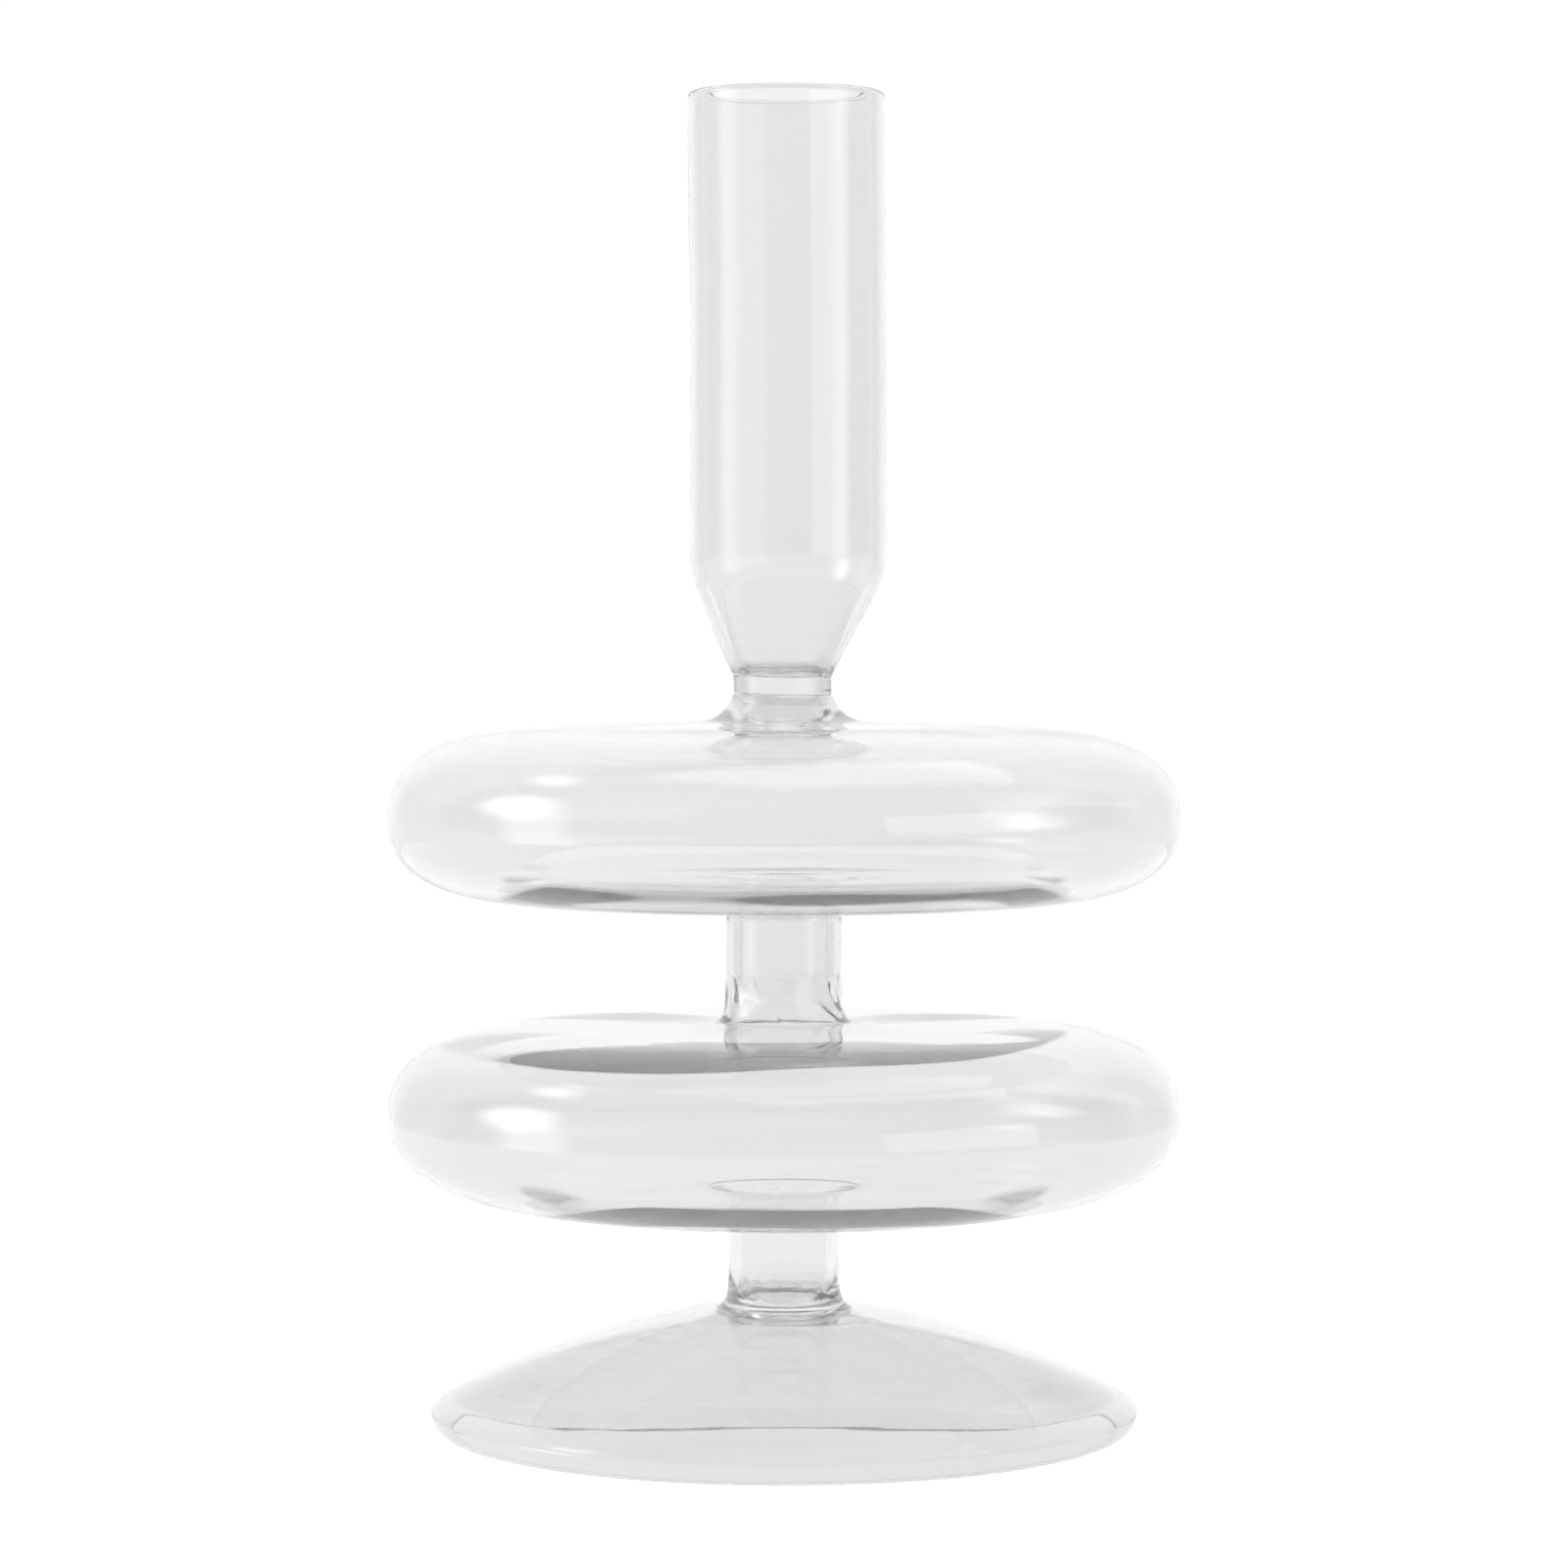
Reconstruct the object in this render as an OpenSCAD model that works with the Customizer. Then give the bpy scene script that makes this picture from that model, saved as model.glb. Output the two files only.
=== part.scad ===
// Clear glass bud vase, made by flame-joining tubes, two flattened bubbles and a bell foot.
// Millimetres, +Z up, origin at the middle of the foot, on the surface that the vase stands on.
// The discs and stems hold one closed air space, between the solid neck and the top of the foot.
// Every piece is turned about Z. Neighbours meet face to face along their flame seals.

/* [Flower tube] */
// Outer radius of the flower tube
tube_r = 12.5; // [12:0.1:13.5]
// Wall thickness of the flower tube
tube_wall = 1.5; // [1.2:0.1:1.8]
// Height of the rim above the ground
rim_z = 169.5; // [150:0.5:200]
// Angle of the tapered shoulder, measured from the vertical
shoulder_angle = 25.5; // [24:0.5:28]
// Radius of the bend from the tube into the taper
shoulder_bend = 12.2; // [10:0.1:13]

/* [Neck] */
// Radius of the waist of the neck
neck_r = 6.2; // [5.8:0.1:6.6]
// Radius of the bend from the taper into the waist
neck_bend = 5.3; // [4.5:0.1:6]
// Radius of the flare from the waist onto the upper disc
flare_bend = 4.5; // [4:0.1:5]

/* [Discs] */
// Radius of both flattened bubbles
disc_r = 50.3; // [46:0.1:54]
// Glass thickness of the bubbles
disc_wall = 1.8; // [1.4:0.1:2]
// Height of the upper disc's widest line
upper_disc_z = 77.95; // [77.5:0.05:78.5]
// Height of the lower disc's widest line
lower_disc_z = 39.75; // [39.5:0.05:40]

/* [Stems] */
// Outer radius of the stem between the discs
upper_stem_r = 7.3; // [7:0.1:7.6]
// Outer radius of the stem between the lower disc and the foot
lower_stem_r = 7.05; // [6.8:0.05:7.4]
// Glass thickness of both stems
stem_wall = 1.6; // [1.2:0.1:2]

/* [Foot] */
// Radius of the foot at its rolled rim
foot_r = 44.85; // [42:0.05:48]
// Glass thickness of the foot
foot_wall = 2.2; // [1.8:0.1:2.4]
// Radius of the rounding outside the rolled rim
foot_rim_round = 2.6; // [2.4:0.1:2.8]

/* [Hidden] */

turn_fn = 96;      // facets of a turned piece when it is shown as a mesh
curve_steps = 14;  // straight steps in one curved stretch of an outline

glass = [0.86, 0.89, 0.90, 0.55];
seal_glass = [0.74, 0.78, 0.80, 0.65];

// Where the pieces join: radius and height of each seal line on the outside
neck_joint = [neck_r + flare_bend, 90.1];
upper_disc_low_joint = [9.8, 67.2];
lower_disc_top_joint = [8.6, 52.0];
lower_disc_low_joint = [9.55, 29.0];
foot_joint = [8.6, 15.6];

// Shape of each half of a disc: how far the side rises or falls straight from the widest line, and
// the point that pulls the flat face level
upper_disc_low_side = 16.0;
upper_disc_low_crown = [19.9, 69.3];
upper_disc_top_side = 14.7;
upper_disc_top_crown = [25.5, 88.5];
lower_disc_low_side = 12.5;
lower_disc_low_crown = [24.5, 27.9];
lower_disc_top_side = 16.0;
lower_disc_top_crown = [26.0, 49.7];

// Shape of the foot: the rise above the rolled rim, the point that pulls its top level, the width
// of the ground ring and the rounding inside the rim
foot_side = 2.3;
foot_crown = [17.5, 15.2];
ground_w = 1.0;
foot_inner_round = 1.4;

// Neck and shoulder heights, from the waist up
waist_z = neck_joint[1] + flare_bend;
bend_in = 1 - cos(shoulder_angle);
taper_run = (tube_r - neck_r - (shoulder_bend + neck_bend) * bend_in) / sin(shoulder_angle);
taper_low_z = waist_z + neck_bend * sin(shoulder_angle);
taper_top_z = taper_low_z + taper_run * cos(shoulder_angle);
shoulder_z = taper_top_z + shoulder_bend * sin(shoulder_angle);
taper_low_r = neck_r + neck_bend * bend_in;
bore_r = tube_r - tube_wall;
lip_r = tube_wall / 2;

// The solid glass between the tube's cavity and the collar's cavity
plug_top_z = taper_low_z + 0.8;
plug_low_z = waist_z - 1.2;
well_floor_z = waist_z + 1.1;
collar_roof_z = waist_z - 2.3;
flare_turn = asin((waist_z - plug_low_z) / flare_bend);

// Heights where the stems start and end
seal_bend = 2.5;
upper_stem_top_z = upper_disc_low_joint[1] - seal_bend;
upper_stem_low_z = lower_disc_top_joint[1] + 6;
lower_stem_top_z = lower_disc_low_joint[1] - seal_bend;
lower_stem_low_z = foot_joint[1] + 5;

function bezier(a, b, c, d) = [for (i = [0:curve_steps]) let (t = i / curve_steps, s = 1 - t)
    s * s * s * a + 3 * s * s * t * b + 3 * s * t * t * c + t * t * t * d];
function arc(centre, r, from, to) = [for (i = [0:curve_steps])
    let (angle = from + (to - from) * i / curve_steps) centre + r * [cos(angle), sin(angle)]];
// All points but the first, for a stretch that starts where the last one ended
function rest(points) = [for (i = [1:len(points) - 1]) points[i]];
function reversed(points) = [for (i = [len(points) - 1:-1:0]) points[i]];
// Radius of the taper's outside at a height
function taper_r(z) = taper_low_r + (z - taper_low_z) * tan(shoulder_angle);

module turned(outline) {
    rotate_extrude($fn = turn_fn) polygon(outline);
}

// Straight-walled tube with a fire-polished lip and a tapered lower end
module flower_tube() {
    bend_centre = [tube_r - shoulder_bend, shoulder_z];
    taper_gap = tube_wall / cos(shoulder_angle);
    color(glass) turned(concat(
        [[taper_r(plug_top_z) - taper_gap, plug_top_z], [taper_r(plug_top_z), plug_top_z]],
        arc(bend_centre, shoulder_bend, -shoulder_angle, 0),
        arc([tube_r - lip_r, rim_z - lip_r], lip_r, 0, 180),
        arc(bend_centre, shoulder_bend - tube_wall, 0, -shoulder_angle)));
}

// Solid glass that closes the bottom of the flower tube, with a rounded well floor
module neck_plug() {
    well_r = taper_r(plug_top_z) - tube_wall / cos(shoulder_angle);
    bend_centre = [neck_r + neck_bend, waist_z];
    flare_centre = [neck_r + flare_bend, waist_z];
    color(seal_glass) turned(concat(
        [[0, plug_low_z]],
        reversed(arc(flare_centre, flare_bend, 180, 180 + flare_turn)),
        rest(arc(bend_centre, neck_bend, 180, 180 - shoulder_angle)),
        [[taper_r(plug_top_z), plug_top_z]],
        bezier([well_r, plug_top_z], [well_r - 0.9, well_floor_z + 0.4],
               [well_r - 2.2, well_floor_z], [0, well_floor_z])));
}

// Flared ring that spreads the neck onto the upper disc, hollow below
module neck_collar() {
    flare_centre = [neck_r + flare_bend, waist_z];
    edge = neck_joint - [0, disc_wall];
    color(seal_glass) turned(concat(
        [[0, plug_low_z], [0, collar_roof_z]],
        rest(bezier([0, collar_roof_z], [5.2, collar_roof_z], [3.8, edge[1]], edge)),
        arc(flare_centre, flare_bend, 270, 180 + flare_turn)));
}

// Flattened hollow bubble. The outside runs from the low joint round the widest line to the top
// joint, and each half is one curve with a side and a crown as its two handles.
module bubble(mid_z, low_joint, low_side, low_crown, top_joint, top_side, top_crown) {
    down = [0, -disc_wall];
    inner_r = disc_r - disc_wall;
    inner_side = (disc_r - disc_wall) / disc_r;
    lower_out = bezier(low_joint, low_crown, [disc_r, mid_z - low_side], [disc_r, mid_z]);
    upper_out = bezier([disc_r, mid_z], [disc_r, mid_z + top_side], top_crown, top_joint);
    lower_in = bezier([inner_r, mid_z], [inner_r, mid_z - low_side * inner_side + disc_wall],
                      low_crown - down, low_joint - down);
    upper_in = bezier(top_joint + down, top_crown + down,
                      [inner_r, mid_z + top_side * inner_side - disc_wall], [inner_r, mid_z]);
    turned(concat(lower_out, rest(upper_out), upper_in, rest(lower_in)));
}

module upper_disc() {
    color(glass) bubble(upper_disc_z, upper_disc_low_joint, upper_disc_low_side,
                        upper_disc_low_crown, neck_joint, upper_disc_top_side, upper_disc_top_crown);
}

module lower_disc() {
    color(glass) bubble(lower_disc_z, lower_disc_low_joint, lower_disc_low_side,
                        lower_disc_low_crown, lower_disc_top_joint, lower_disc_top_side,
                        lower_disc_top_crown);
}

// Ring under a disc, where the disc's glass is drawn down into a stem
module drawn_seal(joint, stem_r) {
    low_z = joint[1] - seal_bend;
    side = joint[0] - stem_r;
    in_r = stem_r - stem_wall;
    color(seal_glass) turned(concat(
        [[in_r, low_z], [stem_r, low_z]],
        rest(bezier([stem_r, low_z], [stem_r, low_z + 0.55 * seal_bend],
                    [joint[0] - 0.55 * side, joint[1]], joint)),
        bezier([joint[0], joint[1] + disc_wall], [joint[0] - 2, joint[1] + disc_wall],
               [in_r, low_z + 2.6], [in_r, low_z + 0.4])));
}

// Thick ring at the base of a stem, where it is melted onto the glass below. Sunk is how far the
// ring goes down into a hole in that glass, or 0 where it sits on top.
module melted_seal(joint, sunk, stem_r, top_z) {
    in_r = stem_r - stem_wall;
    floor_z = joint[1] - sunk;
    color(seal_glass) turned(concat(
        sunk > 0 ? [[joint[0], floor_z]] : [],
        bezier(joint, [joint[0] - 0.7, joint[1] + 1], [stem_r, top_z - 3], [stem_r, top_z]),
        bezier([in_r, top_z], [in_r - 0.9, joint[1] + 2.5],
               [in_r - 0.6, floor_z + 1], [in_r + 0.5, floor_z])));
}

module hollow_stem(stem_r, low_z, top_z) {
    in_r = stem_r - stem_wall;
    color(glass) turned([[in_r, low_z], [stem_r, low_z], [stem_r, top_z], [in_r, top_z]]);
}

module upper_disc_lower_seal() { drawn_seal(upper_disc_low_joint, upper_stem_r); }
module upper_stem() { hollow_stem(upper_stem_r, upper_stem_low_z, upper_stem_top_z); }
module lower_disc_upper_seal() {
    melted_seal(lower_disc_top_joint, disc_wall, upper_stem_r, upper_stem_low_z);
}
module lower_disc_lower_seal() { drawn_seal(lower_disc_low_joint, lower_stem_r); }
module lower_stem() { hollow_stem(lower_stem_r, lower_stem_low_z, lower_stem_top_z); }
module foot_seal() { melted_seal(foot_joint, 0, lower_stem_r, lower_stem_low_z); }

// Bell, closed on top and open below, with a rolled rim that stands on a narrow ground ring
module foot_bell() {
    ground_in_r = foot_r - foot_rim_round - ground_w;
    inner_r = ground_in_r - foot_inner_round;
    drop = [0, -foot_wall];
    apex = [0, foot_joint[1]];
    color(glass) turned(concat(
        [[ground_in_r, 0]],
        arc([foot_r - foot_rim_round, foot_rim_round], foot_rim_round, -90, 0),
        rest(bezier([foot_r, foot_rim_round], [foot_r, foot_rim_round + foot_side],
                    foot_crown, foot_joint)),
        [apex, apex + drop],
        bezier(foot_joint + drop, foot_crown + drop,
               [inner_r, foot_inner_round + foot_side], [inner_r, foot_inner_round]),
        rest(arc([ground_in_r, foot_inner_round], foot_inner_round, 180, 270))));
}

flower_tube();
neck_plug();
neck_collar();
upper_disc();
upper_disc_lower_seal();
upper_stem();
lower_disc_upper_seal();
lower_disc();
lower_disc_lower_seal();
lower_stem();
foot_seal();
foot_bell();
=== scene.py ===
"""Glass bud vase: clear lamp-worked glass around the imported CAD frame. Lengths are in metres.

Every piece of glass is turned about Z to the outer shape of its CAD node and then given the marks
of hand work. The walls of the discs and the foot are thinner than the CAD's. Neighbouring pieces
are one glass where they are melted together, so their joint faces let light pass straight on.
"""
import math

import bmesh
import bpy
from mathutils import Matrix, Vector, noise


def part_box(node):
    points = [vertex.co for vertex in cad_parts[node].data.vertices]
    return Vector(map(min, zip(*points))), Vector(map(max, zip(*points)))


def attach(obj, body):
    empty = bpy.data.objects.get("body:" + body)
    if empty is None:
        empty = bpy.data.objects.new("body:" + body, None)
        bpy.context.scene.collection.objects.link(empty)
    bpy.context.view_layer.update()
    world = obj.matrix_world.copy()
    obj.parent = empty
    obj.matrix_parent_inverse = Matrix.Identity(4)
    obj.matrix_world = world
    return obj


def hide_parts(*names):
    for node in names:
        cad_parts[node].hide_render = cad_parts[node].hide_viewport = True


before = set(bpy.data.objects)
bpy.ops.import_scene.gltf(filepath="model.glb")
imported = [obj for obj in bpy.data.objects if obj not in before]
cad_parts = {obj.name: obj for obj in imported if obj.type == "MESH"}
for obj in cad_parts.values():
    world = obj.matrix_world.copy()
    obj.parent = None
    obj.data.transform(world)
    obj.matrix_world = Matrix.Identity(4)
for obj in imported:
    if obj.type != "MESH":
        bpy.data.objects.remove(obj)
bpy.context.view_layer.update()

MM = 0.001
SEGMENTS = 224          # steps round the axis
FINE_STEP = 0.22 * MM   # outline step at seals and lips
WALL_STEP = 0.62 * MM   # outline step along the walls


# ---------------------------------------------------------------- outlines (radius, height)

def span(points, step):
    """How many steps a stretch with these control points needs."""
    length = sum((b - a).length for a, b in zip(points, points[1:]))
    return max(6, math.ceil(length / step))


def point(r, z):
    return Vector((r, z))


def bezier(a, b, c, d, step=WALL_STEP):
    count = span((a, b, c, d), step)
    out = []
    for i in range(count + 1):
        t = i / count
        s = 1 - t
        out.append(s * s * s * a + 3 * s * s * t * b + 3 * s * t * t * c + t * t * t * d)
    return out


def arc(centre, radius, start, stop, step=FINE_STEP):
    """Arc about centre, from one angle in degrees to another."""
    turn = math.radians(stop - start)
    count = max(6, math.ceil(abs(turn) * radius / step))
    angles = [math.radians(start) + turn * i / count for i in range(count + 1)]
    return [centre + radius * point(math.cos(a), math.sin(a)) for a in angles]


def line(a, b, step=WALL_STEP):
    count = max(1, round((b - a).length / step))
    return [a.lerp(b, i / count) for i in range(count + 1)]


# ---------------------------------------------------------------- sizes, from the frame

tube_low, tube_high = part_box("flower_tube")
disc_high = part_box("upper_disc")[1]
foot_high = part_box("foot_bell")[1]

TUBE_R = tube_high.x
RIM_Z = tube_high.z
TUBE_WALL = 1.5 * MM
SHOULDER_ANGLE = 25.5
SHOULDER_BEND = 12.2 * MM
NECK_R = 6.2 * MM
NECK_BEND = 5.3 * MM
FLARE_BEND = 4.5 * MM
DISC_R = disc_high.x
LOWER_DISC_EDGE = 0.65 * MM     # wall at the outside of each disc
UPPER_DISC_EDGE = 0.95 * MM
THICKER = 0.35 * MM             # how much thicker the flat undersides are towards the stem
THICK_TOP_R = 20 * MM           # the lower disc's top is thickest inside this radius
STEM_WALL = 1.6 * MM
UPPER_STEM_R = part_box("upper_stem")[1].x
LOWER_STEM_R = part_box("lower_stem")[1].x
FOOT_R = foot_high.x
FOOT_WALL = 1.8 * MM
FOOT_EDGE = 0.32 * MM           # wall at the curled lip
FOOT_RIM_ROUND = 2.6 * MM
FOOT_SIDE = 2.3 * MM
FOOT_WELL_R = 3.6 * MM
SEAL_BEND = 2.5 * MM

# Where the pieces meet, as in the CAD, and the middle heights of the discs.
upper_disc_mid = 77.95 * MM
lower_disc_mid = 39.75 * MM
neck_joint = point(NECK_R + FLARE_BEND, 90.1 * MM)
upper_disc_low_joint = point(9.8 * MM, 67.2 * MM)
lower_disc_top_joint = point(8.6 * MM, 52.0 * MM)
lower_disc_low_joint = point(9.55 * MM, 29.0 * MM)
foot_joint = point(8.6 * MM, 15.6 * MM)

lean = math.radians(SHOULDER_ANGLE)
waist_z = neck_joint.y + FLARE_BEND
taper_low_z = waist_z + NECK_BEND * math.sin(lean)
taper_low_r = NECK_R + NECK_BEND * (1 - math.cos(lean))
taper_run = (TUBE_R - NECK_R - (SHOULDER_BEND + NECK_BEND) * (1 - math.cos(lean))) / math.sin(lean)
taper_top_z = taper_low_z + taper_run * math.cos(lean)
shoulder_z = taper_top_z + SHOULDER_BEND * math.sin(lean)
plug_top_z = tube_low.z
plug_low_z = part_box("neck_plug")[0].z
well_floor_z = waist_z + 1.1 * MM
collar_roof_z = waist_z - 1.0 * MM
flare_turn = math.degrees(math.asin((waist_z - plug_low_z) / FLARE_BEND))


def taper_r(z):
    return taper_low_r + (z - taper_low_z) * math.tan(lean)


well_r = taper_r(plug_top_z) - TUBE_WALL / math.cos(lean)


# ---------------------------------------------------------------- glass

class NodeMath:
    """Small helper that joins math nodes in one tree."""

    def __init__(self, tree):
        self.tree = tree

    def do(self, operation, a, b=0.0):
        node = self.tree.nodes.new("ShaderNodeMath")
        node.operation = operation
        for socket, value in zip(node.inputs, (a, b)):
            if isinstance(value, (int, float)):
                socket.default_value = value
            else:
                self.tree.links.new(value, socket)
        return node.outputs[0]

    def step(self, value, low, high, from_value=0.0, to_value=1.0):
        """Smooth change as value goes from low to high."""
        node = self.tree.nodes.new("ShaderNodeMapRange")
        node.interpolation_type = "SMOOTHSTEP"
        self.tree.links.new(value, node.inputs["Value"])
        node.inputs["From Min"].default_value = low
        node.inputs["From Max"].default_value = high
        node.inputs["To Min"].default_value = from_value
        node.inputs["To Max"].default_value = to_value
        return node.outputs[0]

    def noise(self, where, scale, stretch):
        """Soft noise, with the coordinates scaled by stretch."""
        mapping = self.tree.nodes.new("ShaderNodeMapping")
        mapping.inputs["Scale"].default_value = stretch
        self.tree.links.new(where, mapping.inputs["Vector"])
        node = self.tree.nodes.new("ShaderNodeTexNoise")
        node.inputs["Scale"].default_value = scale
        node.inputs["Detail"].default_value = 2.0
        self.tree.links.new(mapping.outputs[0], node.inputs["Vector"])
        return node.outputs[0]

    def pits(self, where, scale):
        """Small round pits and seeds, far apart."""
        node = self.tree.nodes.new("ShaderNodeTexVoronoi")
        node.inputs["Scale"].default_value = scale
        self.tree.links.new(where, node.inputs["Vector"])
        return self.step(node.outputs["Distance"], 0.0, 0.07, 1.0, 0.0)


GLASS_IOR = 1.47
HAZE = 0.045            # part of the skin that is dusty and not clear
PAINTED_GLOW = 0.008         # faint painted glow: white light that the glass gives off itself, standing in for light scattered within it
BUMP_HEIGHT = 0.1 * MM
WAVE_SCALE = 90         # how many of each kind of mark there are in a metre
STREAK_SCALE = 700
PIT_SCALE = 160
BLOOM_SCALE = 45
STREAK_DEPTH = 0.12     # depth of streaks and pits, as a part of that of the waves
PIT_DEPTH = 0.5
BLOOM_ROUGHNESS = 0.012


def make_glass(name, tint_and_shade, wave):
    """Clear glass with drawn streaks, faint waves, fine pits and a little bloom on its skin."""
    material = bpy.data.materials.new(name)
    material.use_nodes = True
    tree = material.node_tree
    shader = tree.nodes["Principled BSDF"]
    # Base colour: the glass's tint, with painted shade in it that differs from piece to piece.
    shader.inputs["Base Color"].default_value = (tint_and_shade, tint_and_shade, tint_and_shade, 1)
    shader.inputs["IOR"].default_value = GLASS_IOR
    shader.inputs["Transmission Weight"].default_value = 1.0 - HAZE
    # Painted glow: the glass gives off a faint white light of its own.
    shader.inputs["Emission Color"].default_value = (1, 1, 1, 1)
    shader.inputs["Emission Strength"].default_value = PAINTED_GLOW
    math_nodes = NodeMath(tree)
    where = tree.nodes.new("ShaderNodeTexCoord").outputs["Object"]
    waves = math_nodes.noise(where, WAVE_SCALE, (1, 1, 0.5))
    streaks = math_nodes.noise(where, STREAK_SCALE, (0.12, 0.12, 1))
    pits = math_nodes.pits(where, PIT_SCALE)
    height = math_nodes.do("ADD", waves, math_nodes.do("MULTIPLY", streaks, STREAK_DEPTH))
    height = math_nodes.do("SUBTRACT", height, math_nodes.do("MULTIPLY", pits, PIT_DEPTH))
    bump = tree.nodes.new("ShaderNodeBump")
    bump.inputs["Strength"].default_value = wave
    bump.inputs["Distance"].default_value = BUMP_HEIGHT
    tree.links.new(height, bump.inputs["Height"])
    tree.links.new(bump.outputs["Normal"], shader.inputs["Normal"])
    bloom = math_nodes.noise(where, BLOOM_SCALE, (1, 1, 1))
    roughness = math_nodes.step(bloom, 0.55, 0.8, 0.0, BLOOM_ROUGHNESS)
    tree.links.new(roughness, shader.inputs["Roughness"])
    return material


def make_joint_glass():
    """The melted joint faces, which light passes straight through."""
    material = bpy.data.materials.new("melted_joint")
    material.use_nodes = True
    nodes = material.node_tree.nodes
    clear = nodes.new("ShaderNodeBsdfTransparent")
    out = nodes["Material Output"]
    material.node_tree.links.new(clear.outputs[0], out.inputs["Surface"])
    nodes.remove(nodes["Principled BSDF"])
    return material


FINE_WAVE = 0.04        # bump strength of drawn walls, and of glass that has been melted again
MELTED_WAVE = 0.15
# All pieces are one glass. Their tints differ only as painted shade and light, set to how dark each
# piece looks: darkest on the neck, then on the foot, where it stands for the shaded floor under it,
# and lightest on the upper disc and the stems.
clear_glass = make_glass("clear_glass", 0.94, FINE_WAVE)
tube_glass = make_glass("tube_glass", 0.925, FINE_WAVE)
lower_glass = make_glass("lower_glass", 0.925, FINE_WAVE)
foot_glass = make_glass("foot_glass", 0.89, FINE_WAVE)
seal_glass = make_glass("seal_glass", 0.91, MELTED_WAVE)
neck_glass = make_glass("neck_glass", 0.85, MELTED_WAVE)
joint_glass = make_joint_glass()
AXIS_TOLERANCE = 1e-7
JOINT_GAP = 0.01 * MM


def part_joints(bm):
    """Leaves a hair of room at each joint, so that two faces never lie in the same place."""
    shift = {}
    for face in bm.faces:
        if face.material_index == 1:
            for v in face.verts:
                shift[v] = shift.get(v, Vector()) + face.normal
    for v, normal in shift.items():
        if v.co.xy.length < AXIS_TOLERANCE:
            normal = Vector((0, 0, normal.z))
        v.co -= normal.normalized() * JOINT_GAP / 2


def ease(value, low, high):
    """Smooth change from 0 at low to 1 at high."""
    reach = min(1.0, max(0.0, (value - low) / (high - low)))
    return reach * reach * (3 - 2 * reach)


OUT_OF_ROUND = 0.12 * MM
UNEVEN_SPAN = 22 * MM   # how far apart the uneven places are
TUBE_SHIFT = 0.55 * MM
TUBE_LEAN_BACK = 0.25 * MM
WAIST_SHIFT = 0.2 * MM


def outward(v):
    """Direction straight away from the axis."""
    return Vector((v.x, v.y, 0)).normalized()


def hand_made(v):
    """The whole vase is slightly out of round, and its tube sits a little off the axis."""
    uneven = noise.noise(v / UNEVEN_SPAN) * OUT_OF_ROUND * ease(v.xy.length, 2 * MM, 12 * MM)
    shift = TUBE_SHIFT * ease(v.z, 97 * MM, 112 * MM)
    shift -= TUBE_LEAN_BACK * ease(v.z, 140 * MM, RIM_Z)
    shift -= WAIST_SHIFT * ease(v.z, 84 * MM, 92 * MM) * (1 - ease(v.z, 95 * MM, 106 * MM))
    return v + outward(v) * uneven + Vector((shift, 0, 0))


FOLD_COUNT = 1.9        # how closely the folds follow each other round the seal
FOLD_SLANT = 0.5        # radians that a fold turns on its way up
FOLD_CHANGE = 0.8       # how much a fold changes on its way up


def folds(low_z, high_z, depth, seed):
    """Slanting creases of melted glass between two heights, gone at either end."""
    def warp(v):
        reach = (v.z - low_z) / (high_z - low_z)
        if not 0 < reach < 1:
            return v
        fade = math.sin(math.pi * reach) ** 0.8
        turn = math.atan2(v.y, v.x) + FOLD_SLANT * reach
        place = Vector((math.cos(turn), math.sin(turn), 0)) * FOLD_COUNT
        place += Vector((0, 0, seed + FOLD_CHANGE * reach))
        crease = 1 - 3.2 * abs(noise.noise(place))
        return v + outward(v) * depth * fade * crease
    return warp


GROOVES = ((1.1 * MM, 0.10 * MM), (-1.0 * MM, 0.18 * MM), (-2.3 * MM, 0.10 * MM))
GROOVE_HALF_WIDTH = 0.26 * MM
GROOVE_TILT = 0.03


def pinch_rings(v):
    """Fine tilted grooves left in the waist by the tool that pinched it."""
    if v.xy.length < NECK_R - 1.0 * MM:
        return v
    groove = 0
    for height, depth in GROOVES:
        away = (v.z - waist_z - height + GROOVE_TILT * v.x) / GROOVE_HALF_WIDTH
        groove += depth * math.exp(-away * away)
    return v - outward(v) * groove


def chain(runs):
    """Joins runs of points into one closed outline and says what each of its steps is."""
    outline = []
    kinds = []
    for kind, points in runs:
        for a in points[:-1]:
            outline.append(a)
            kinds.append(kind)
    if (outline[0] - runs[-1][1][-1]).length > AXIS_TOLERANCE:
        outline.append(runs[-1][1][-1])
        kinds.append("axis")
    return outline, kinds


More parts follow.
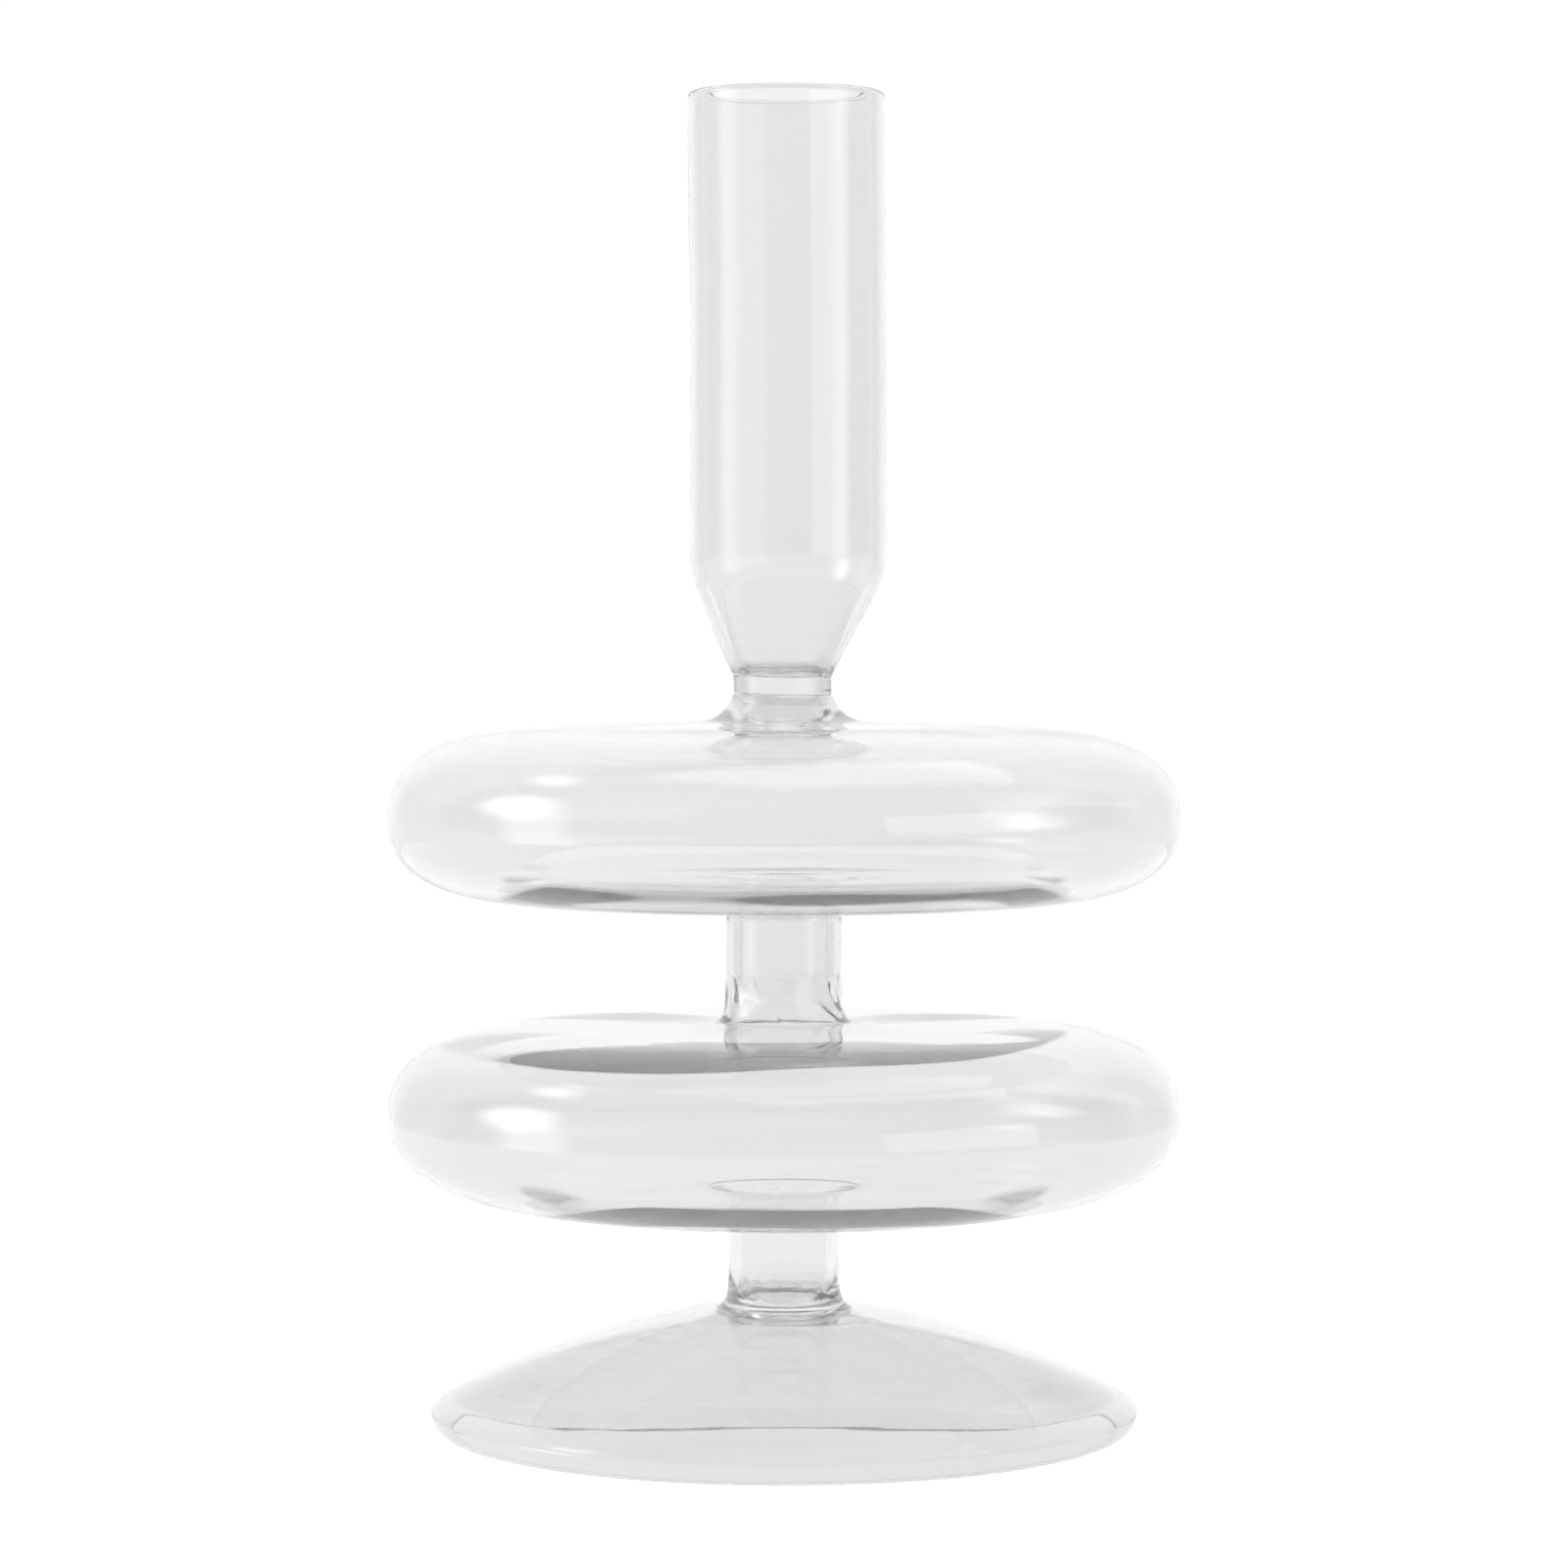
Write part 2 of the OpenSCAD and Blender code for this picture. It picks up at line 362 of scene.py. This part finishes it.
def lathe(name, shape, material, warp=None):
    """Turns a closed outline about Z. Shape is (kind, points) runs, end to end, kind skin or
    joint, or a function that gives them for each angle."""
    angles = [2 * math.pi * k / SEGMENTS for k in range(SEGMENTS)]
    if callable(shape):
        sections = [chain(shape(a)) for a in angles]
    else:
        sections = [chain(shape)] * SEGMENTS
    outline, kinds = sections[0]
    bm = bmesh.new()
    rings = []
    for i, p in enumerate(outline):
        if p.x < AXIS_TOLERANCE:
            rings.append([bm.verts.new((0, 0, p.y))])
        else:
            ring = []
            for a, (section, _) in zip(angles, sections):
                q = section[i]
                ring.append(bm.verts.new((q.x * math.cos(a), q.x * math.sin(a), q.y)))
            rings.append(ring)
    count = len(rings)
    for i in range(count):
        lower, upper, kind = rings[i], rings[(i + 1) % count], kinds[i]
        if kind == "axis" or (len(lower) == 1 and len(upper) == 1):
            continue
        for k in range(SEGMENTS):
            k2 = (k + 1) % SEGMENTS
            corners = [lower[k % len(lower)], lower[k2 % len(lower)],
                       upper[k2 % len(upper)], upper[k % len(upper)]]
            unique = list(dict.fromkeys(corners))
            face = bm.faces.new(unique)
            face.material_index = 1 if kind == "joint" else 0
            face.smooth = True
    bmesh.ops.recalc_face_normals(bm, faces=bm.faces)
    part_joints(bm)
    for v in bm.verts:
        v.co = hand_made(warp(v.co) if warp else v.co)
    mesh = bpy.data.meshes.new(name)
    bm.to_mesh(mesh)
    bm.free()
    mesh.materials.append(material)
    mesh.materials.append(joint_glass)
    mesh.set_sharp_from_angle(angle=math.radians(40))
    obj = bpy.data.objects.new(name, mesh)
    bpy.context.scene.collection.objects.link(obj)
    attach(obj, "root")
    return obj


def build_tube():
    bend = point(TUBE_R - SHOULDER_BEND, shoulder_z)
    lip = TUBE_WALL / 2
    lip_centre = point(TUBE_R - lip, RIM_Z - lip)
    outer_low = point(taper_r(plug_top_z), plug_top_z)
    inner_low = point(well_r, plug_top_z)
    outer_arc = arc(bend, SHOULDER_BEND, -SHOULDER_ANGLE, 0)
    inner_arc = arc(bend, SHOULDER_BEND - TUBE_WALL, 0, -SHOULDER_ANGLE)
    lip_arc = arc(lip_centre, lip, 0, 180, 0.1 * MM)
    skin = line(outer_low, outer_arc[0])[:-1] + outer_arc[:-1] + line(outer_arc[-1], lip_arc[0])[:-1]
    skin += lip_arc[:-1] + line(lip_arc[-1], inner_arc[0])[:-1] + inner_arc[:-1]
    skin += line(inner_arc[-1], inner_low)
    tube = lathe("flower_tube_glass", [("joint", [inner_low, outer_low]), ("skin", skin)],
                 tube_glass)
    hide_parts("flower_tube")


def build_plug():
    bend = point(NECK_R + NECK_BEND, waist_z)
    flare = point(NECK_R + FLARE_BEND, waist_z)
    outer = arc(flare, FLARE_BEND, 180 + flare_turn, 180)[:-1]
    outer += arc(bend, NECK_BEND, 180, 180 - SHOULDER_ANGLE)[:-1]
    top = point(taper_r(plug_top_z), plug_top_z)
    outer += line(outer[-1], top, FINE_STEP)[1:]
    well = bezier(point(well_r, plug_top_z), point(well_r - 0.9 * MM, well_floor_z + 0.4 * MM),
                  point(well_r - 2.2 * MM, well_floor_z), point(0, well_floor_z), FINE_STEP)
    bottom = [point(0, plug_low_z), outer[0]]
    plug = lathe("neck_plug_glass", [("joint", bottom), ("skin", outer),
                 ("joint", [top, well[0]]), ("skin", well)], neck_glass,
                 pinch_rings)
    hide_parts("neck_plug")


def wall_law(middle, edge, low_r, high_r, power=2):
    """Blown wall: one thickness inside low_r and another outside high_r, bending down between."""
    def wall(r):
        reach = min(1.0, max(0.0, (r - low_r) / (high_r - low_r)))
        return edge + (middle - edge) * (1 - reach ** power)
    return wall


def even_wall(thickness):
    """Wall of one thickness."""
    return lambda r: thickness


def inward(outline, mid, low_wall, top_wall):
    """The outline moved to the inside of the glass by the wall's thickness."""
    out = []
    for i, p in enumerate(outline):
        before = outline[max(0, i - 1)]
        after = outline[min(len(outline) - 1, i + 1)]
        along = (after - before).normalized()
        wall = low_wall if p.y < mid else top_wall
        out.append(p + wall(p.x) * point(-along.y, along.x))
    return out


def eased(outline, passes=40):
    """Evens out the bend of an outline, so that its two halves run into each other."""
    points = outline[:]
    for _ in range(passes):
        moved = points[:]
        for i in range(1, len(points) - 1):
            moved[i] = points[i] * 0.5 + (points[i - 1] + points[i + 1]) * 0.25
        points = moved
    widest = max(p.x for p in points)
    return [point(p.x * (1 + (DISC_R / widest - 1) * (p.x / widest) ** 8), p.y) for p in points]


def disc_outline(mid, low_joint, low_side, low_crown, top_joint, top_side, top_crown):
    outer = bezier(low_joint, low_crown, point(DISC_R, mid - low_side), point(DISC_R, mid))[:-1]
    outer += bezier(point(DISC_R, mid), point(DISC_R, mid + top_side), top_crown, top_joint)
    return eased(outer)


upper_outline = disc_outline(upper_disc_mid, upper_disc_low_joint, 16.0 * MM,
                             point(19.9 * MM, 69.3 * MM), neck_joint, 14.7 * MM,
                             point(25.5 * MM, 88.5 * MM))
lower_outline = disc_outline(lower_disc_mid, lower_disc_low_joint, 12.5 * MM,
                             point(24.5 * MM, 27.9 * MM), lower_disc_top_joint, 16.0 * MM,
                             point(26.0 * MM, 49.7 * MM))

OVAL_SOFT = 22          # degrees over which the oval's edge changes, to either side of turn
OVAL_UNEVEN = 1.2 * MM


def oval(angle, long_r, side_r, turn):
    """Edge of the thicker, oval middle of a blown wall: long_r towards front and back, up to turn
    degrees to either side of them, and side_r at the sides."""
    away = math.degrees(math.acos(min(1.0, abs(math.sin(angle)))))
    reach = ease(turn + OVAL_SOFT - away, 0, 2 * OVAL_SOFT)
    hand = noise.noise(Vector((math.cos(angle), math.sin(angle), turn)) * 1.7)
    return side_r + (long_r + OVAL_UNEVEN * hand - side_r) * reach


def upper_inside(angle):
    """Inner outline of the upper disc: thicker underside, even top."""
    edge = oval(angle, 48 * MM, 36 * MM, 54)
    low = wall_law(UPPER_DISC_EDGE + THICKER, UPPER_DISC_EDGE, edge - 6 * MM, edge)
    return inward(upper_outline, upper_disc_mid, low, even_wall(UPPER_DISC_EDGE))


def lower_inside(angle):
    """Inner outline of the lower disc: thicker underside, and a top that is thicker in its middle,
    most of all towards front and back, over an oval that reaches further out on the left."""
    edge = oval(angle, 47 * MM, 34 * MM, 42)
    low = wall_law(LOWER_DISC_EDGE + THICKER, LOWER_DISC_EDGE, edge - 7 * MM, edge)
    front = ease(abs(math.sin(angle)), 0.4, 0.85)
    middle = LOWER_DISC_EDGE + (0.15 + 0.6 * front) * MM
    edge = oval(angle, 41.8 * MM, 40.0 * MM, 54) - 4.0 * MM * math.cos(angle)
    top = wall_law(middle, LOWER_DISC_EDGE, THICK_TOP_R, edge, 3)
    return inward(lower_outline, lower_disc_mid, low, top)


upper_inner = upper_inside(0)
lower_inner = lower_inside(0)


def build_collar():
    flare = point(NECK_R + FLARE_BEND, waist_z)
    edge = upper_inner[-1]
    outer = arc(flare, FLARE_BEND, 180 + flare_turn, 270)
    bore = NECK_R - 1.4 * MM
    corner = point(bore, collar_roof_z - 0.6 * MM)
    inner = bezier(edge, edge + point(-3.6 * MM, 0.1 * MM), corner - point(0, 2.2 * MM), corner,
                   FINE_STEP)[:-1]
    inner += bezier(corner, corner + point(0, 0.5 * MM), point(bore - 0.6 * MM, collar_roof_z),
                    point(0, collar_roof_z), FINE_STEP)
    collar = lathe("neck_collar_glass", [("joint", [point(0, plug_low_z), outer[0]]),
                   ("skin", outer), ("joint", [outer[-1], edge]), ("skin", inner)],
                   neck_glass, pinch_rings)
    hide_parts("neck_collar")


def build_disc(name, node, outer, inside, material):
    def section(angle):
        back = inside(angle)[::-1]
        return [("skin", outer), ("joint", [outer[-1], back[0]]), ("skin", back),
                ("joint", [back[-1], outer[0]])]

    disc = lathe(name, section, material)
    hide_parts(node)


def build_drawn_seal(name, node, joint, edge, stem_r):
    low = joint.y - SEAL_BEND
    inner_r = stem_r - STEM_WALL
    side = joint.x - stem_r
    outer = bezier(point(stem_r, low), point(stem_r, low + 0.55 * SEAL_BEND),
                   point(joint.x - 0.55 * side, joint.y), joint, FINE_STEP)
    inner = bezier(edge, edge - point(2.4 * MM, 0.1 * MM), point(inner_r, low + 3.2 * MM),
                   point(inner_r, low), FINE_STEP)
    creases = folds(low + 0.1 * MM, joint.y - 0.1 * MM, 0.07 * MM, 5 * joint.x / MM)
    seal = lathe(name, [("joint", [inner[-1], outer[0]]), ("skin", outer),
                 ("joint", [joint, edge]), ("skin", inner)], seal_glass, creases)
    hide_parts(node)


def build_melted_seal(name, node, joint, edge, stem_r, depth, seed):
    top_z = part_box(node)[1].z
    inner_r = stem_r - STEM_WALL
    outer = bezier(joint, joint + point(-1.1 * MM, 0.25 * MM), point(stem_r, joint.y + 1.6 * MM),
                   point(stem_r, top_z), FINE_STEP)
    pull = (inner_r - edge.x) * 0.55
    inner = bezier(point(inner_r, top_z), point(inner_r, joint.y + 0.9 * MM),
                   edge + point(pull, 0.03 * MM), edge, FINE_STEP)
    creases = folds(joint.y + 0.2 * MM, top_z - 0.1 * MM, depth, seed)
    seal = lathe(name, [("joint", [inner[-1], joint]), ("skin", outer),
                 ("joint", [outer[-1], inner[0]]), ("skin", inner)], seal_glass,
                 creases)
    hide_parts(node)


def build_stem(name, node, stem_r):
    low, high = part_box(node)
    inner_r = stem_r - STEM_WALL
    outer = line(point(stem_r, low.z), point(stem_r, high.z), FINE_STEP)
    inner = line(point(inner_r, high.z), point(inner_r, low.z), FINE_STEP)
    stem = lathe(name, [("skin", outer), ("joint", [outer[-1], inner[0]]), ("skin", inner),
                 ("joint", [inner[-1], outer[0]])], clear_glass)
    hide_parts(node)


RIPPLE_STEP = 0.9 * MM
RIPPLE_DEPTH = 0.004 * MM
RIPPLE_CHANGE = 1.2     # how much a ripple changes on its way round


def foot_ripples(v):
    """Fine turning lines in both faces of the foot."""
    r = v.xy.length
    if v.z < FOOT_RIM_ROUND or r < 10 * MM:
        return v
    turn = math.atan2(v.y, v.x)
    place = Vector((r / RIPPLE_STEP, math.cos(turn) * RIPPLE_CHANGE, math.sin(turn) * RIPPLE_CHANGE))
    return v + Vector((0, 0, RIPPLE_DEPTH * noise.noise(place)))


def build_foot():
    """A thin dome whose edge curls under and ends in a rounded lip."""
    roll = point(FOOT_R - FOOT_RIM_ROUND, FOOT_RIM_ROUND)
    outer = arc(roll, FOOT_RIM_ROUND, -90, 0)[:-1]
    outer += bezier(point(FOOT_R, FOOT_RIM_ROUND), point(FOOT_R, FOOT_RIM_ROUND + FOOT_SIDE),
                    point(17.5 * MM, 15.2 * MM), foot_joint)
    wall = wall_law(FOOT_WALL, FOOT_EDGE, 0, roll.x)
    under = inward(outer, 0, wall, wall)[::-1]
    cap = line(point(FOOT_WELL_R, foot_joint.y), point(0, foot_joint.y))
    half = FOOT_EDGE / 2
    lip = arc(point(roll.x, half), half, 90, 270, 0.08 * MM)
    inner = line(point(0, under[0].y), under[0])[:-1] + under[:-1] + lip
    foot = lathe("foot_bell_glass", [("skin", outer), ("joint", [foot_joint, cap[0]]),
                 ("skin", cap), ("axis", [cap[-1], inner[0]]), ("skin", inner)],
                 foot_glass, foot_ripples)
    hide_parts("foot_bell")


build_tube()
build_plug()
build_collar()
build_disc("upper_disc_glass", "upper_disc", upper_outline, upper_inside, clear_glass)
build_drawn_seal("upper_disc_seal_glass", "upper_disc_lower_seal", upper_disc_low_joint,
                 upper_inner[0], UPPER_STEM_R)
build_stem("upper_stem_glass", "upper_stem", UPPER_STEM_R)
build_melted_seal("stem_seal_glass", "lower_disc_upper_seal", lower_disc_top_joint,
                  lower_inner[-1], UPPER_STEM_R, 0.15 * MM, 35)
build_disc("lower_disc_glass", "lower_disc", lower_outline, lower_inside, lower_glass)
build_drawn_seal("lower_disc_seal_glass", "lower_disc_lower_seal", lower_disc_low_joint,
                 lower_inner[0], LOWER_STEM_R)
build_stem("lower_stem_glass", "lower_stem", LOWER_STEM_R)
build_melted_seal("foot_seal_glass", "foot_seal", foot_joint,
                  point(FOOT_WELL_R, foot_joint.y), LOWER_STEM_R, 0.06 * MM, 12)
build_foot()


# ---------------------------------------------------------------- stage, light and camera

FLOOR_R = 0.33
FLOOR_BACK = 0.1        # how far the floor's middle lies behind the vase
FLOOR_DROP = 0.05 * MM
FLOOR_TONE = 0.5
FLOOR_GLOW = 0.70       # light of the floor in the glass, and how much more the camera sees
FLOOR_WHITE = 0.20


def build_floor():
    """A round pale table top under the vase."""
    bm = bmesh.new()
    bmesh.ops.create_circle(bm, cap_ends=True, segments=128, radius=FLOOR_R)
    mesh = bpy.data.meshes.new("floor")
    bm.to_mesh(mesh)
    bm.free()
    floor = bpy.data.objects.new("floor", mesh)
    floor.location = (0, FLOOR_BACK, -FLOOR_DROP)
    bpy.context.scene.collection.objects.link(floor)
    material = bpy.data.materials.new("floor_white")
    material.use_nodes = True
    shader = material.node_tree.nodes["Principled BSDF"]
    shader.inputs["Base Color"].default_value = (FLOOR_TONE, FLOOR_TONE, FLOOR_TONE, 1)
    shader.inputs["Roughness"].default_value = 1.0
    shader.inputs["Specular IOR Level"].default_value = 0.0
    shader.inputs["Emission Color"].default_value = (1, 1, 1, 1)
    helper = NodeMath(material.node_tree)
    path = material.node_tree.nodes.new("ShaderNodeLightPath")
    white = helper.do("MULTIPLY_ADD", path.outputs["Is Camera Ray"], FLOOR_WHITE)
    white.node.inputs[2].default_value = FLOOR_GLOW
    material.node_tree.links.new(white, shader.inputs["Emission Strength"])
    floor.data.materials.append(material)


# Radiance of the surroundings as the glass sees them. Angles in this section are in degrees.
BACKDROP = 1.03
BACKDROP_SIDE = 0.84
GROUND = 0.89
BACKDROP_TOP = 50
ROOM = 0.38
CEILING = 0.45

# Soft lights: azimuth, elevation, half width, half height, radiance, fully bright part.
SIDE_LIGHT = (-86, 22, 22, 19, 5.0, 0.1)
HIGH_LIGHT = (-112, 52, 22, 8, 2.5, 0.1)
STRIP_LIGHT = (-76, 2, 17, 60, 1.6, 0.35)
STRIP_TOP = 14


class Sky(NodeMath):
    """The studio as seen from the vase, by azimuth from the camera side and by elevation."""

    def __init__(self, tree):
        super().__init__(tree)
        coord = tree.nodes.new("ShaderNodeTexCoord")
        split = tree.nodes.new("ShaderNodeSeparateXYZ")
        tree.links.new(coord.outputs["Generated"], split.inputs[0])
        x, y, z = split.outputs
        self.azimuth = self.do("ARCTAN2", x, self.do("MULTIPLY", y, -1.0))
        self.turn = self.do("ABSOLUTE", self.azimuth)
        self.elevation = self.do("ARCSINE", z)

    def band(self, value, low, high, from_value=0.0, to_value=1.0):
        return self.step(value, math.radians(low), math.radians(high), from_value, to_value)

    def glow(self, azimuth, elevation, width, height, radiance, edge=0.0):
        """A round or oval soft light. Edge is the part of its radius that is fully bright."""
        a = self.do("SUBTRACT", self.azimuth, math.radians(azimuth))
        e = self.do("SUBTRACT", self.elevation, math.radians(elevation))
        a = self.do("DIVIDE", a, math.radians(width))
        e = self.do("DIVIDE", e, math.radians(height))
        reach = self.do("SQRT", self.do("ADD", self.do("MULTIPLY", a, a), self.do("MULTIPLY", e, e)))
        return self.step(reach, edge, 1.0, radiance, 0.0)


def build_world():
    """A white backdrop in a dimmer room and three soft lights on the left, as the glass sees them.
    The camera itself sees plain white."""
    world = bpy.data.worlds.new("studio")
    bpy.context.scene.world = world
    world.use_nodes = True
    tree = world.node_tree
    sky = Sky(tree)
    behind = sky.band(sky.turn, 108, 126)
    middle = sky.band(sky.turn, 140, 160, BACKDROP_SIDE, BACKDROP)
    below = sky.band(sky.elevation, BACKDROP_TOP, BACKDROP_TOP + 12, 1.0, 0.0)
    room = sky.band(sky.elevation, 14, 50, ROOM, CEILING)
    wall = sky.do("MULTIPLY", behind, below)
    bright = sky.do("ADD", sky.do("MULTIPLY", wall, middle),
                    sky.do("MULTIPLY", sky.do("SUBTRACT", 1.0, wall), room))
    near = sky.band(sky.elevation, -7, -1)
    ground = sky.do("ADD", sky.do("MULTIPLY", near, middle),
                    sky.do("MULTIPLY", sky.do("SUBTRACT", 1.0, near), GROUND))
    over = sky.band(sky.elevation, -12, 0)
    bright = sky.do("ADD", sky.do("MULTIPLY", over, bright),
                    sky.do("MULTIPLY", sky.do("SUBTRACT", 1.0, over), ground))
    lights = sky.do("ADD", sky.glow(*SIDE_LIGHT), sky.glow(*HIGH_LIGHT))
    strip = sky.do("MULTIPLY", sky.glow(*STRIP_LIGHT),
                   sky.band(sky.elevation, STRIP_TOP, STRIP_TOP + 8, 1.0, 0.0))
    bright = sky.do("ADD", bright, sky.do("ADD", lights, strip))
    path = tree.nodes.new("ShaderNodeLightPath")
    seen = sky.do("MAXIMUM", path.outputs["Is Camera Ray"], bright)
    tree.links.new(seen, tree.nodes["Background"].inputs["Strength"])
    tree.nodes["Background"].inputs["Color"].default_value = (1, 1, 1, 1)


def aim_point(azimuth, elevation, distance, target=(0, 0, 60 * MM)):
    """A point in the direction azimuth (from the camera side to the right) and elevation."""
    a = math.radians(azimuth)
    e = math.radians(elevation)
    away = Vector((math.sin(a) * math.cos(e), -math.cos(a) * math.cos(e), math.sin(e)))
    return Vector(target) + away * distance


def soft_box(name, azimuth, elevation, distance, width, height, radiance):
    """A soft box that only shows in the glass. Radiance 1 is paper white."""
    light = bpy.data.lights.new(name, "AREA")
    light.shape = "RECTANGLE"
    light.size = width
    light.size_y = height
    light.energy = radiance * math.pi * width * height
    box = bpy.data.objects.new(name, light)
    bpy.context.scene.collection.objects.link(box)
    box.location = aim_point(azimuth, elevation, distance)
    toward = aim_point(azimuth, elevation, 0) - box.location
    box.rotation_euler = toward.to_track_quat("-Z", "Y").to_euler()
    box.visible_camera = False
    box.visible_diffuse = False
    return box


def build_lights():
    soft_box("right_panel", 52, 9, 1.2, 1.05, 0.50, 0.95)
    soft_box("overhead", 128, 79, 1.0, 0.70, 0.95, 0.9)


CAMERA_AWAY = 651.6 * MM
CAMERA_HEIGHT = 106.2 * MM
AIM_HEIGHT = 82.1 * MM
SENSOR = 36             # width of the sensor and length of the lens in millimetres
LENS = 118.035


def build_camera():
    data = bpy.data.cameras.new("camera")
    camera = bpy.data.objects.new("camera", data)
    bpy.context.scene.collection.objects.link(camera)
    camera.location = (0, -CAMERA_AWAY, CAMERA_HEIGHT)
    aim = Vector((0, 0, AIM_HEIGHT))
    camera.rotation_euler = (aim - camera.location).to_track_quat("-Z", "Y").to_euler()
    data.sensor_width = SENSOR
    data.lens = LENS
    data.clip_start = 0.01
    bpy.context.scene.camera = camera


LIGHT_BOUNCES = 32      # how dark the crescents in the discs turn out depends on this limit
build_floor()
build_world()
build_lights()
build_camera()
scene = bpy.context.scene
scene.view_settings.view_transform = "Standard"
scene.cycles.max_bounces = LIGHT_BOUNCES
scene.cycles.transmission_bounces = LIGHT_BOUNCES
scene.cycles.glossy_bounces = LIGHT_BOUNCES
scene.cycles.transparent_max_bounces = 128
